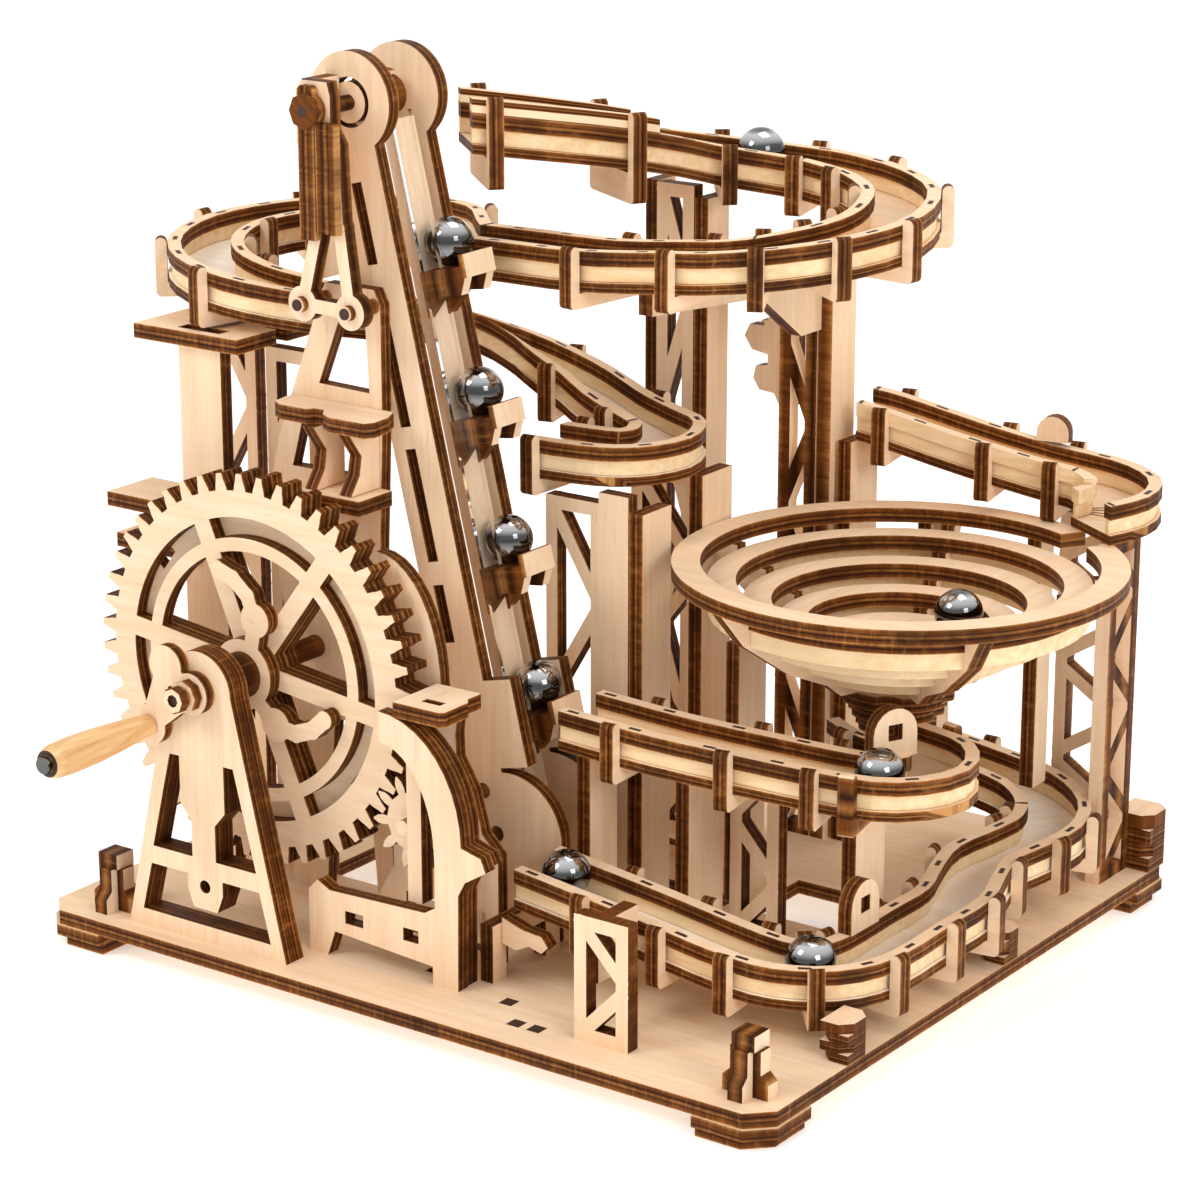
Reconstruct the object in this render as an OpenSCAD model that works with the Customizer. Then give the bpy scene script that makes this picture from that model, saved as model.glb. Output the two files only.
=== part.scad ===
// Hand-cranked wooden marble run: flat laser-cut plywood plates on a base board, a big crank
// gear, a leaning scoop lift, rail tracks with clamps, and a stepped ring funnel.
// X runs along the long front edge, Y runs back, Z runs up. Millimetres.

/* [Layout] */
// Plan size that the tracks, towers and frames are laid out on
span = 100; // [98:1:103]
// Width of the base board along its front edge
base_w = 230; // [228:1:240]
// Depth of the base board
base_d = 206; // [204:1:214]
// Height of the stacked corner feet
foot_h = 6; // [5:0.5:7]
// Size of the cut corners of the base board
corner_cut = 6; // [3:0.5:8]

/* [Plywood] */
// Thickness of the base board, the clamps and the small plates
ply = 4; // [3.6:0.1:4.2]
// Thickness of the upright frame plates
frame_t = 4.2; // [3.8:0.1:4.4]
// Width of the wooden struts in the towers
strut = 3.6; // [3:0.1:4.4]

/* [Tracks] */
// Diameter of a steel marble
ball_d = 12.7; // [12.3:0.1:12.8]
// Free width beside a marble between the rails
ball_play = 0.7; // [0.6:0.1:1]
// Width of one rail, seen from above
rail_w = 3.6; // [3:0.1:4]
// Thickness of a rail
rail_t = 3.8; // [3.2:0.1:4]
// Thickness of a track floor
floor_t = 2.6; // [2.2:0.1:2.8]
// Thickness of the pale strips under the rails
strip_w = 1.6; // [1.2:0.1:2]
// Height of a track from under its floor to the rail top
track_h = 10.5; // [10:0.1:10.8]
// Thickness of a clamp leg beside the rail
clamp_leg = 3.2; // [2.6:0.1:3.6]
// Depth of a clamp below the floor
clamp_drop = 4; // [3:0.1:4.6]
// Rise of a clamp above the rail top
clamp_rise = 1.6; // [1:0.1:2.4]

/* [Crank and gears] */
// Thickness of one gear layer
gear_t = 4; // [3.6:0.1:4.1]
// Radius of the crank axle
axle_r = 3; // [2.6:0.1:3.2]
// Radius of the thin lift shafts
shaft_r = 2; // [1.7:0.1:2.3]
// Running clearance round a shaft
fit = 0.08; // [0.05:0.01:0.1]
// Distance from the crank axle to the grip
crank_r = 18; // [17:0.5:20]
// Length of the turned grip
grip_l = 36; // [30:0.5:40]
// Radius of the turned grip
grip_r = 4.5; // [4:0.1:5]

/* [Lift] */
// Lean of the lift from upright, in degrees
lean = 13.54; // [13:0.01:14]
// Spacing of the scoops along the lift
scoop_gap = 39; // [38:0.5:39.5]
// Thickness of the clear guard strip
guard_t = 1.4; // [1:0.1:1.5]

/* [Funnel] */
// Outer radius of the funnel's top ring
funnel_r = 58.6; // [57.5:0.1:59]
// Width of one flat funnel ring
ring_w = 7.4; // [6.8:0.1:8]
// Thickness of one funnel ring
ring_t = 4; // [3.6:0.1:4.2]

/* [Hidden] */
$fn = 48;
birch = "burlywood";
burnt = "peru";
steel = "silver";
// Gap that keeps moving pieces off their neighbours, and the overrun of every cut
gap = 0.3;
over = 1;
base_top = foot_h + ply;
// Teeth on the crank gear, on its pinion and on each of the two equal wheels behind it
gear_teeth = 48;
pinion_teeth = 10;
pair_teeth = 8;

// Plate helpers: an outline standing across the depth, along the depth, or lying flat
module xz(y0, t) translate([0, y0 + t, 0]) rotate([90, 0, 0]) linear_extrude(t) children();
module yz(x0, t) translate([x0, 0, 0]) rotate([90, 0, 90]) linear_extrude(t) children();
module xy(z0, t) translate([0, 0, z0]) linear_extrude(t) children();

// A round-ended strut between two points, and a plain rectangle between two corners
joint_share = 1.06;
module bar(a, b, w) {
    translate(a) rotate(atan2(b[1] - a[1], b[0] - a[0]))
        translate([0, -w / 2]) square([norm(b - a), w]);
    translate(a) circle(d = w * joint_share);
    translate(b) circle(d = w * joint_share);
}
module box2(a, b) translate(a) square(b - a);
module bars(table, w) for (s = table) bar(s[0] * span, s[1] * span, w);
module boxes(table) for (s = table) box2([s[0], s[1]] * span, [s[2], s[3]] * span);

// A smooth line through control points, and its sideways direction in plan
function curve(a, b, c, d, t) = (2 * b + (c - a) * t + (2 * a - 5 * b + 4 * c - d) * t * t
    + (3 * b - a - 3 * c + d) * t * t * t) / 2;
function smooth(c, n) = let (m = len(c) - 1)
    [for (i = [0:m - 1]) for (k = [0:n - 1])
        curve(c[max(i - 1, 0)], c[i], c[i + 1], c[min(i + 2, m)], k / n), c[m]];
function heading(p, i) = let (d = p[min(i + 1, len(p) - 1)] - p[max(i - 1, 0)]) atan2(d[1], d[0]);
function side(p, i) = let (a = heading(p, i)) [sin(a), -cos(a), 0];

// A strip of rectangular section swept along a line: s0 and s1 are its sides to the right of
// the line, z0 and z1 its heights above the line
module ribbon(p, s0, s1, z0, z1) {
    n = len(p);
    pts = [for (i = [0:n - 1]) each [p[i] + side(p, i) * s0 + [0, 0, z0],
        p[i] + side(p, i) * s1 + [0, 0, z0], p[i] + side(p, i) * s1 + [0, 0, z1],
        p[i] + side(p, i) * s0 + [0, 0, z1]]];
    faces = concat([[0, 2, 1], [0, 3, 2]],
        [for (i = [0:n - 2]) for (k = [0:3]) each [
            [4 * i + k, 4 * i + (k + 1) % 4, 4 * i + 4 + k],
            [4 * i + (k + 1) % 4, 4 * i + 4 + (k + 1) % 4, 4 * i + 4 + k]]],
        [[4 * n - 4, 4 * n - 3, 4 * n - 2], [4 * n - 4, 4 * n - 2, 4 * n - 1]]);
    polyhedron(pts, faces);
}

// Track sections, measured from the underside of the floor
channel = (ball_d + ball_play) / 2;
half_w = channel + rail_w;
rail_z = track_h - rail_t;
function track(shares) = [for (q = smooth(shares, 3)) q * span - [0, 0, track_h]];
module floor_of(p) ribbon(p, -half_w, half_w, 0, floor_t);
module rails_of(p) {
    ribbon(p, channel, half_w, rail_z, track_h);
    ribbon(p, -half_w, -channel, rail_z, track_h);
}
module strips_of(p) {
    strip_in = channel + (rail_w - strip_w) / 2;
    ribbon(p, strip_in, strip_in + strip_w, floor_t + fit * 2, rail_z - fit);
    ribbon(p, -strip_in - strip_w, -strip_in, floor_t + fit * 2, rail_z - fit);
}
// A clamp: a U-shaped plate square to the track that hugs its floor and both rails
module clamp_outline(rise = clamp_rise, drop = clamp_drop) {
    w = half_w + fit;
    difference() {
        union() {
            for (m = [-1, 1]) {
                box2([m > 0 ? w : -w - clamp_leg, -drop + clamp_leg / 2],
                    [m > 0 ? w + clamp_leg : -w, track_h + rise - clamp_leg / 2]);
                translate([m * (w + clamp_leg / 2), track_h + rise - clamp_leg / 2])
                    circle(d = clamp_leg);
                translate([m * (w + clamp_leg / 2), -drop + clamp_leg / 2]) circle(d = clamp_leg);
            }
            box2([-w - clamp_leg / 2, -drop], [w + clamp_leg / 2, 0]);
            box2([-w - clamp_leg / 2, -drop + clamp_leg / 2], [w + clamp_leg / 2, 0]);
        }
        box2([-w, 0], [w, track_h + rise + over]);
    }
}
// How far a sloping floor sinks over half the thickness of a clamp
function sink(p, i) = let (d = p[min(i + 1, len(p) - 1)] - p[max(i - 1, 0)])
    fit + abs(d[2]) / norm([d[0], d[1]]) * ply / 2;
module clamp_at(p, i, rise = clamp_rise, drop = clamp_drop)
    translate(p[i] - [0, 0, sink(p, i)]) rotate([0, 0, heading(p, i)]) translate([-ply / 2, 0, 0])
        rotate([90, 0, 90]) linear_extrude(ply) mirror([1, 0]) clamp_outline(rise, drop);

// Control points of the five tracks, rail top heights, as shares of span
top_shares = [[-.38, -.14, 2.2], [-.24, .02, 2.17], [-.13, .19, 2.135], [-.03, .37, 2.09],
    [.08, .47, 2.065], [.2, .53, 2.05], [.31, .55, 2.04], [.47, .515, 2.025], [.61, .4, 2.01],
    [.68, .21, 1.99], [.65, .05, 1.97], [.55, -.08, 1.95], [.42, -.14, 1.93], [.28, -.15, 1.915],
    [.05, -.14, 1.89], [-.2, -.1, 1.875], [-.45, -.05, 1.86]];
left_shares = [[-.452, -.05, 1.86], [-.5, -.032, 1.858], [-.58, .05, 1.855], [-.715, .188, 1.85], [-.88, .233, 1.84],
    [-1.046, .188, 1.83], [-1.168, .066, 1.82], [-1.213, -.1, 1.81], [-1.168, -.266, 1.795],
    [-1.046, -.388, 1.78], [-.88, -.433, 1.76], [-.715, -.388, 1.735], [-.6, -.26, 1.7],
    [-.555, -.1, 1.66], [-.51, .06, 1.6], [-.42, .17, 1.53], [-.28, .22, 1.46], [-.14, .215, 1.4],
    [-.02, .2, 1.37], [.05, .165, 1.365], [.085, .07, 1.36], [.05, -.025, 1.36],
    [-.03, -.06, 1.36], [-.19, -.06, 1.355]];
slide_shares = [[.32, .73, 1.365], [.4, .75, 1.35], [.62, .79, 1.3], [.82, .83, 1.26],
    [.97, .85, 1.24], [1.07, .8, 1.23], [1.095, .72, 1.22], [1.06, .65, 1.21]];
middle_shares = [[.13, -.34, .74], [.4, -.33, .725], [.7, -.29, .71], [.88, -.255, .7],
    [1.0, -.22, .7], [1.053, -.12, .7], [1.0, -.02, .7], [.9, .015, .7], [.8, .04, .7],
    [.72, .08, .705]];
lower_shares = [[.16, -.57, .385], [.5, -.57, .345], [.8, -.57, .305], [.92, -.54, .293],
    [1.0, -.46, .288], [1.025, -.34, .285], [1.025, -.14, .287], [1.025, .05, .288],
    [.98, .2, .292], [.95, .33, .298], [.98, .46, .308], [1.0, .58, .32], [.96, .69, .335],
    [.86, .76, .355], [.72, .78, .375], [.52, .78, .4]];
top_run = track(top_shares);
left_run = track(left_shares);
slide_run = track(slide_shares);
middle_run = track(middle_shares);
lower_run = track(lower_shares);

module top_floor() color(birch) floor_of(top_run);
module top_rails() color(burnt) rails_of(top_run);
module top_strips() color(birch) strips_of(top_run);
module top_clamps() color(burnt) {
    for (i = [11, 16, 20, 24, 28, 31, 34, 38, 42]) clamp_at(top_run, i);
    for (i = [1, 6]) clamp_at(top_run, i, rail_t + clamp_rise, clamp_drop * 2);
}
module left_floor() color(birch) floor_of(left_run);
module left_rails() color(burnt) rails_of(left_run);
module left_strips() color(birch) strips_of(left_run);
module left_clamps() color(burnt)
    for (i = [8, 13, 17, 21, 25, 29, 47, 52, 68]) clamp_at(left_run, i);
module slide_floor() color(birch) floor_of(slide_run);
module slide_rails() color(burnt) { rails_of(slide_run); strips_of(slide_run); }
module slide_clamps() color(burnt) for (i = [3, 7, 10]) clamp_at(slide_run, i);
module middle_floor() color(birch) floor_of(middle_run);
module middle_rails() color(burnt) { rails_of(middle_run); strips_of(middle_run); }
module middle_clamps() color(burnt)
    for (i = [2, 5, 8, 10, 20, 24]) clamp_at(middle_run, i);
module lower_floor() color(birch) floor_of(lower_run);
module lower_rails() color(burnt) { rails_of(lower_run); strips_of(lower_run); }
module lower_clamps() color(burnt)
    for (i = [2, 4, 6, 10, 14, 18, 21, 26, 31, 34, 43]) clamp_at(lower_run, i);

// Base board with its cut corners, middle cut-outs and small slots, as shares of span
board_cut_shares = [[.0, -.3, .34, .1], [.46, -.3, .74, -.15], [-.7, -.4, -.2, .1],
    [.4, .04, .74, .3], [-.04, -.79, -.01, -.765], [.02, -.79, .05, -.765]];
module board(inset = 0) {
    w = base_w / 2 - inset;
    d = base_d / 2 - inset;
    polygon([[-w + corner_cut, -d], [w - corner_cut, -d], [w, -d + corner_cut],
        [w, d - corner_cut], [w - corner_cut, d], [-w + corner_cut, d],
        [-w, d - corner_cut], [-w, -d + corner_cut]]);
}
module base_plate() color(birch) xy(foot_h, ply) difference() {
    board();
    boxes(board_cut_shares);
}
foot_w = 20;
foot_step = 1.2;
module corner_feet() color(burnt) for (k = [0, 1]) xy(k * foot_h / 2, foot_h / 2)
    intersection() {
        board(k == 0 ? foot_step : -foot_step / 2);
        for (mx = [0, 1], my = [0, 1]) mirror([mx, 0]) mirror([0, my])
            translate([base_w / 2 - foot_w, base_d / 2 - foot_w])
                square(foot_w + foot_step);
    }
bollard_shares = [[-.98, -.92], [1.04, -.92]];
bollard_w = 13;
bollard_h = 12;
module bollard_side() polygon([[-bollard_w / 2, 0], [bollard_w / 2, 0],
    [bollard_w / 2, bollard_h / 3], [bollard_w / 3, bollard_h / 2], [bollard_w / 3, bollard_h],
    [-bollard_w / 3, bollard_h], [-bollard_w / 3, bollard_h / 2], [-bollard_w / 2, bollard_h / 3]]);
module corner_bollards() color(burnt) for (s = bollard_shares)
    translate([s[0] * span, s[1] * span, base_top]) {
        xz(-frame_t / 2, frame_t) bollard_side();
        yz(-frame_t / 2, frame_t) bollard_side();
        xy(bollard_h, ply) square(bollard_w / 2, center = true);
    }

// Crank gear: axle place, layers and teeth
gear_share = [-.62, .79];
gear_x = gear_share[0] * span;
gear_z = gear_share[1] * span;
pinion_share = [-.097, .48];
pinion_x = pinion_share[0] * span;
pinion_z = pinion_share[1] * span;
mesh_d = norm([pinion_x - gear_x, pinion_z - gear_z]);
mesh_a = atan2(pinion_z - gear_z, pinion_x - gear_x);
modul = 2 * mesh_d / (gear_teeth + pinion_teeth);
press = 20;
function inv(a) = tan(a) * 180 / PI - a;
// Half angle of a tooth at radius r; fill is how much of the pitch the tooth takes up
function tooth_a(n, m, r, fill) = let (rp = n * m / 2, rb = rp * cos(press), q = max(r, rb))
    fill * 180 / n + inv(press) - inv(acos(rb / q));
tip_share = 1;
root_share = 1.15;
function gear_pts(n, m, fill) = let (rp = n * m / 2, rt = rp + m * tip_share,
        rr = rp - m * root_share)
    [for (i = [0:n - 1]) let (a = i * 360 / n) each [
        for (k = [0:3]) let (r = rr + (rt - rr) * k / 3) let (h = tooth_a(n, m, r, fill))
            [r * cos(a - max(h, 1)), r * sin(a - max(h, 1))],
        for (k = [3:-1:0]) let (r = rr + (rt - rr) * k / 3) let (h = tooth_a(n, m, r, fill))
            [r * cos(a + max(h, 1)), r * sin(a + max(h, 1))]]];
gear_fill_share = .42;
pinion_fill_share = .4;
gear_root = gear_teeth * modul / 2 - modul * root_share;
gear_y = -76;
rim_w = 7;
hub_r = 9;
spoke_w = 5.4;
inner_rim_share = .74;
inner_rim = gear_root * inner_rim_share;
module at_gear() translate([gear_x, gear_z]) children();
// Starts with a gap facing the pinion
module toothed(n, m, fill, turn) rotate(turn) polygon(gear_pts(n, m, fill));
module gear_front() color(birch) xz(gear_y, gear_t) at_gear() {
    difference() {
        union() {
            difference() {
                toothed(gear_teeth, modul, gear_fill_share, mesh_a + 180 / gear_teeth);
                circle(gear_root - rim_w);
            }
            difference() {
                circle(inner_rim);
                circle(inner_rim - spoke_w / 1.5);
            }
            circle(hub_r);
            for (k = [0:5]) rotate(k * 60 - 7) translate([0, -spoke_w / 2])
                square([gear_root - rim_w / 2, spoke_w]);
        }
        circle(axle_r);
    }
}
module gear_back() color(burnt) xz(gear_y + gear_t, gear_t) at_gear() difference() {
    toothed(gear_teeth, modul, gear_fill_share, mesh_a + 180 / gear_teeth);
    difference() {
        circle(inner_rim);
        circle(hub_r);
        for (k = [0:5]) rotate(k * 60 - 7) translate([0, -spoke_w / 2])
            square([inner_rim + over, spoke_w]);
    }
    circle(axle_r);
    for (k = [0:5]) rotate(k * 60 + 23) translate([inner_rim + strut, -rim_w / 2])
        square([strut, rim_w]);
}
arm_share = [[.1, .18], [.17, .42], [.12, .6], [.0, .72], [-.14, .78]];
arm_w = 4.6;
module gear_arms() color(birch) xz(gear_y - gear_t, gear_t) at_gear() difference() {
    union() {
        circle(hub_r * 1.05);
        for (k = [0:2]) rotate(k * 120 + 5) {
            for (j = [0:len(arm_share) - 2])
                bar(arm_share[j] * inner_rim, arm_share[j + 1] * inner_rim, arm_w);
            translate(arm_share[1] * inner_rim) circle(arm_w);
        }
    }
    circle(axle_r);
}
stand_y = -97;
stand_t = 7;
stand_top_r = 10.6;
stand_w = 54;
foot_rail = 6.4;
module window(pts) polygon(pts * span);
stand_low_shares = [[-.84, .145], [-.4, .145], [-.435, .28], [-.805, .28]];
stand_left_shares = [[-.797, .33], [-.66, .33], [-.66, .43], [-.695, .47], [-.695, .6],
    [-.728, .6]];
stand_right_shares = [[-.443, .33], [-.58, .33], [-.58, .43], [-.545, .47], [-.545, .6],
    [-.512, .6]];
stand_tab_shares = [[-.68, .29], [-.56, .29], [-.56, .24], [-.58, .19], [-.66, .19], [-.68, .24]];
tab_hole_r = 1.8;
module crank_stand() color(birch) xz(stand_y, stand_t) difference() {
    union() {
        difference() {
            union() {
                polygon([[gear_x - stand_w / 2, base_top], [gear_x + stand_w / 2, base_top],
                    [gear_x + stand_top_r, gear_z], [gear_x - stand_top_r, gear_z]]);
                at_gear() circle(stand_top_r);
            }
            window(stand_low_shares);
            window(stand_left_shares);
            window(stand_right_shares);
        }
        window(stand_tab_shares);
    }
    at_gear() circle(axle_r + fit);
    translate([gear_x, stand_tab_shares[3][1] * span + foot_rail]) circle(tab_hole_r);
}
// Crank pieces on the axle, from the front
arm_t = 3;
arm_y = stand_y - gap - arm_t;
nut_r = 4.3;
axle_back_y = -45.8;
axle_front_y = arm_y - arm_t * 1.4;
spacer_r = 6.2;
module crank_axle() color(burnt) {
    xz(axle_front_y, axle_back_y - axle_front_y) at_gear() circle(axle_r);
    xz(stand_y + stand_t + gap, gear_y - gear_t - stand_y - stand_t - gap) at_gear()
        difference() { circle(spacer_r); circle(axle_r); }
}
crank_turn = 217;
boss_turn = 143;
boss_share = .57;
module crank_arm() color(birch) {
    xz(arm_y, arm_t) at_gear() difference() {
        union() {
            circle(nut_r * 1.3);
            bar([0, 0], crank_r * [cos(crank_turn), sin(crank_turn)], spoke_w);
            bar([0, 0], crank_r * boss_share * [cos(boss_turn), sin(boss_turn)], spoke_w);
            bar(crank_r * boss_share * [cos(boss_turn), sin(boss_turn)],
                crank_r * [cos(crank_turn), sin(crank_turn)], spoke_w);
            translate(crank_r * boss_share * [cos(boss_turn), sin(boss_turn)]) circle(spoke_w);
            translate(crank_r * [cos(crank_turn), sin(crank_turn)]) circle(spoke_w);
        }
        circle(axle_r);
        translate(crank_r * [cos(crank_turn), sin(crank_turn)]) circle(shaft_r);
    }
    xz(arm_y - arm_t, arm_t) at_gear() difference() { circle(nut_r, $fn = 8); circle(axle_r); }
}
grip_x = gear_x + crank_r * cos(crank_turn);
grip_z = gear_z + crank_r * sin(crank_turn);
pin_cap = 1.2;
pin_head_r = 2.2;
collar_l = 1.5;
grip_end_share = .68;
module grip_pin() color(steel) translate([grip_x, arm_y + arm_t, grip_z]) rotate([90, 0, 0]) {
    cylinder(r = shaft_r, h = arm_t + grip_l + collar_l + gap);
    translate([0, 0, arm_t + grip_l + collar_l + gap * 2]) cylinder(r = pin_head_r, h = pin_cap);
    translate([0, 0, arm_t + grip_l + collar_l + gap]) cylinder(r = shaft_r, h = gap);
}
grip_shares = [[0, .62], [.12, .7], [.3, .86], [.55, 1], [.78, 1.04], [.94, .98], [1, .8]];
module crank_grip() color(birch) translate([grip_x, arm_y - gap, grip_z]) rotate([90, 0, 0])
    rotate_extrude() polygon(concat([[shaft_r + fit, 0]],
        [for (s = grip_shares) [s[1] * grip_r, s[0] * (grip_l + collar_l - gap)]],
        [[shaft_r + fit, grip_l + collar_l - gap]]));

// Arch frame in front of the pinion: a curved shoulder, a leg, a low beam and a shelf
arch_y = -85;
// A quarter round: a row holds its centre and its two radii, drawn from the top to the right
quarter_n = 10;
function quarter(s, back = false) = [for (k = [0:quarter_n]) let (a = 90 * (back ? 1 - k / quarter_n : k / quarter_n))
    s[0] + [s[1][0] * sin(a), s[1][1] * cos(a)]];
arch_out_shares = [[-.13, .49], [.258, .31]];
arch_in_shares = [[-.13, .44], [.174, .28]];
arch_foot_shares = [[.19, .475], [.205, .44], [.14, .4], [.118, .36], [.115, .1], [.035, .1],
    [.035, .15], [-.285, .17], [-.31, .1], [-.37, .1], [-.37, .27], [-.34, .3], [-.3, .28],
    [.01, .29], [.044, .31]];
arch_shares = concat(quarter(arch_out_shares), arch_foot_shares, quarter(arch_in_shares, true));
arch_slot_shares = [[-.25, .2, -.19, .235], [-.06, .2, -.01, .235]];
module arch_frame() color(birch) xz(arch_y, frame_t) difference() {
    polygon(arch_shares * span);
    boxes(arch_slot_shares);
}
panel_out_shares = [[-.13, .487], [.252, .303]];
panel_foot_shares = [[.18, .47], [.193, .443], [.135, .405], [.113, .36], [.11, .1], [.044, .1]];
panel_shares = concat(quarter(panel_out_shares), panel_foot_shares, quarter(arch_in_shares, true));
upright_shares = [[-.075, .29, -.03, .69]];
panel_t = arch_y + frame_t;
module arch_panel() color(birch) xz(panel_t, gear_y - gap - panel_t) {
    polygon(panel_shares * span);
    boxes(upright_shares);
}
cover_round_shares = [[-.28, .81], [.203, .336]];
cover_foot_shares = [[-.077, .774], [-.033, .756], [-.028, .74], [-.033, .703], [-.03, .64],
    [.02, .56], [.05, .45], [.1, .4], [.1, .1], [-.3, .1], [-.3, .2], [-.24, .3], [-.24, .62],
    [-.28, .8]];
cover_shares = concat(quarter(cover_round_shares), cover_foot_shares);
cover_y = -66;
cover_hole_shares = [[-.2, .13, .06, .24]];
module drive_cover() color(birch) xz(cover_y, ply) difference() {
    polygon(cover_shares * span);
    boxes(cover_hole_shares);
    translate([pinion_x, pinion_z]) circle(shaft_r + fit);
    translate([low_x, low_z]) circle(shaft_r + fit);
}
// Low track's left end: a leg across the depth and a bracket under the track
leg_x_share = .115;
leg_shares = [[-.756, .1], [-.756, .255], [-.47, .255], [-.47, .1], [-.53, .1], [-.53, .2],
    [-.7, .2], [-.7, .1]];
bracket_shares = [[.157, .27], [.157, .2], [.2, .19], [.24, .21], [.28, .2], [.3, .22], [.28, .245],
    [.22, .25]];
bracket_y_share = -.72;
tab_shares = [[-.085, -.845], [.06, -.845], [.072, -.835], [.072, -.74], [.055, -.72], [.055, -.665],
    [-.085, -.665]];
tab_slot_shares = [[-.03, -.8, .03, -.775]];
tab_z_share = .792;
module drive_shelf() color(birch) {
    xy(tab_z_share * span, ply) difference() {
        polygon(tab_shares * span);
        boxes(tab_slot_shares);
    }
    yz(leg_x_share * span, ply) polygon(leg_shares * span);
    xz(bracket_y_share * span, frame_t) polygon(bracket_shares * span);
}

// Leaning lift: its frame starts at the lower foot point; t runs right, s runs up the lift
lift_share = [-.01, .38];
axis_t = -4.5;
head_s = 192.7;
module leaning() translate(lift_share * span) rotate(lean) children();
module lift_place() translate([lift_share[0] * span, 0, lift_share[1] * span])
    rotate([0, -lean, 0]) children();
function lifted(t, s) = lift_share * span + t * [cos(lean), sin(lean)] + s * [-sin(lean), cos(lean)];
low = lifted(axis_t, 0);
low_x = low[0];
low_z = low[1];
lift_w = 14;
head_r = 13;
slot_w = 3.4;
front_y = -46;
rear_y = -26;
slot_shares = [[.785, .895], [.565, .705], [.38, .535], [.268, .348]];
bulge_r = 16.4;
module side_plate(w0, r, hole) {
    difference() {
        union() {
            leaning() {
                box2([w0, 0], [w0 + lift_w, head_s]);
                translate([axis_t, head_s]) circle(r);
                box2([w0, head_s / 11], [w0 + lift_w + foot_rail * 1.4, head_s / 4.7]);
            }
            translate(lift_share * span) circle(bulge_r);
            box2([lift_share[0] * span - lift_w * .7, base_top],
                [lift_share[0] * span + lift_w, lift_share[1] * span]);
        }
        leaning() {
            for (s = slot_shares) {
                box2([w0 + lift_w * .28, s[0] * head_s], [w0 + lift_w * .28 + slot_w, s[1] * head_s]);
            }
            translate([axis_t, head_s]) circle(hole);
            translate([axis_t, 0]) circle(shaft_r + fit);
        }
    }
}
module lift_side_front() color(birch) xz(front_y, frame_t) difference() {
    side_plate(-head_r, head_r, head_r / 2);
    translate([pinion_x, pinion_z]) circle(shaft_r + fit);
}
module lift_side_rear() color(birch) xz(rear_y, frame_t) side_plate(-head_r + over, head_r, shaft_r + fit);
guard_in = 4.5;
guard_w = 6;
guard_foot = 12;
module lift_guard() color("azure", .35) lift_place() xz(front_y + frame_t, guard_t)
    box2([guard_in, guard_foot], [guard_in + guard_w, head_s - guard_in]);
// Left frame plates that carry the lift's upper shaft and lean on the tower
brace_share = [-.575, -.532];
brace_foot_share = 1.8;
brace_top_share = 2.31;
brace_y_share = -.6;
up = lifted(axis_t, head_s);
brace_pin_shares = [[-.555, 1.742], [-.4, 1.738]];
brace_face_shares = [[-.56, 2.29], [-.54, 2.315], [-.46, 2.315], [-.45, 2.28], [-.45, 2.2],
    [-.425, 2.16], [-.415, 1.94], [-.53, 1.94], [-.545, 2.1], [-.56, 2.16]];
brace_leg_shares = [[-.5, 1.95], [-.43, 1.95]];
boss_r = 4.6;
module lift_brace() color(burnt) {
    yz(brace_share[0] * span, (brace_share[1] - brace_share[0]) * span)
        box2([brace_y_share * span + ply + gap / 3, brace_foot_share * span], [front_y - gap, brace_top_share * span]);
    xz(brace_y_share * span, ply) difference() {
        union() {
            polygon(brace_face_shares * span);
            for (i = [0, 1]) {
                bar(brace_leg_shares[i] * span, brace_pin_shares[i] * span, strut);
                translate(brace_pin_shares[i] * span) circle(boss_r);
            }
            bar(brace_pin_shares[0] * span, brace_pin_shares[1] * span, strut);
        }
        translate(up) circle(shaft_r + fit);
    }
    for (c = brace_pin_shares) xz(brace_y_share * span - ply / 2, tower_y - gap / 3 - brace_y_share * span + ply / 2)
        translate(c * span) circle(shaft_r);
}

// A flat truss: an upright frame with zigzag struts between its two sides
module truss(a, b, n) {
    h = (b[1] - a[1]) / n;
    difference() {
        box2(a, b);
        box2(a + [strut, strut], b - [strut, strut]);
    }
    for (k = [0:n - 1]) bar([k % 2 == 0 ? a[0] + strut / 2 : b[0] - strut / 2, a[1] + k * h + strut / 2],
        [k % 2 == 0 ? b[0] - strut / 2 : a[0] + strut / 2, a[1] + (k + 1) * h - strut / 2], strut);
}
// Towers: rows of y, then lower left and upper right corners in x and z, and bays
module trusses(table) for (s = table) xz(s[0] * span, frame_t)
    truss([s[1] * span, max(s[2] * span, base_top)], [s[3], s[4]] * span, s[5]);
module posts(table) for (s = table) yz(s[0] * span, frame_t)
    box2([s[1] * span, max(s[2] * span, base_top)], [s[3], s[4]] * span);

tower_shares = [[-.72, 0], [-.36, 0], [-.4, .97], [-.38, 1.42], [-.38, 1.74], [-.4, 1.78],
    [-.56, 1.78], [-.58, 1.74], [-.6, 1.681], [-.684, 1.465], [-.714, 1.393], [-.75, 1.267],
    [-.76, 1.1], [-.7, .7]];
tower_hole_shares = [[[-.6, .1], [-.42, .1], [-.46, .6], [-.56, .6]],
    [[-.684, 1.276], [-.47, 1.276], [-.45, 1.4], [-.649, 1.4]],
    [[-.588, 1.511], [-.42, 1.507], [-.43, 1.69], [-.516, 1.69]]];
tower_y = -50.3;
module lift_tower() color(birch) xz(tower_y, frame_t - gap) difference() {
    intersection() {
        polygon(tower_shares * span);
        box2([-base_w, base_top], [base_w, base_w]);
    }
    for (s = tower_hole_shares) polygon(s * span);
    at_gear() circle(axle_r + fit);
}
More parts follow.
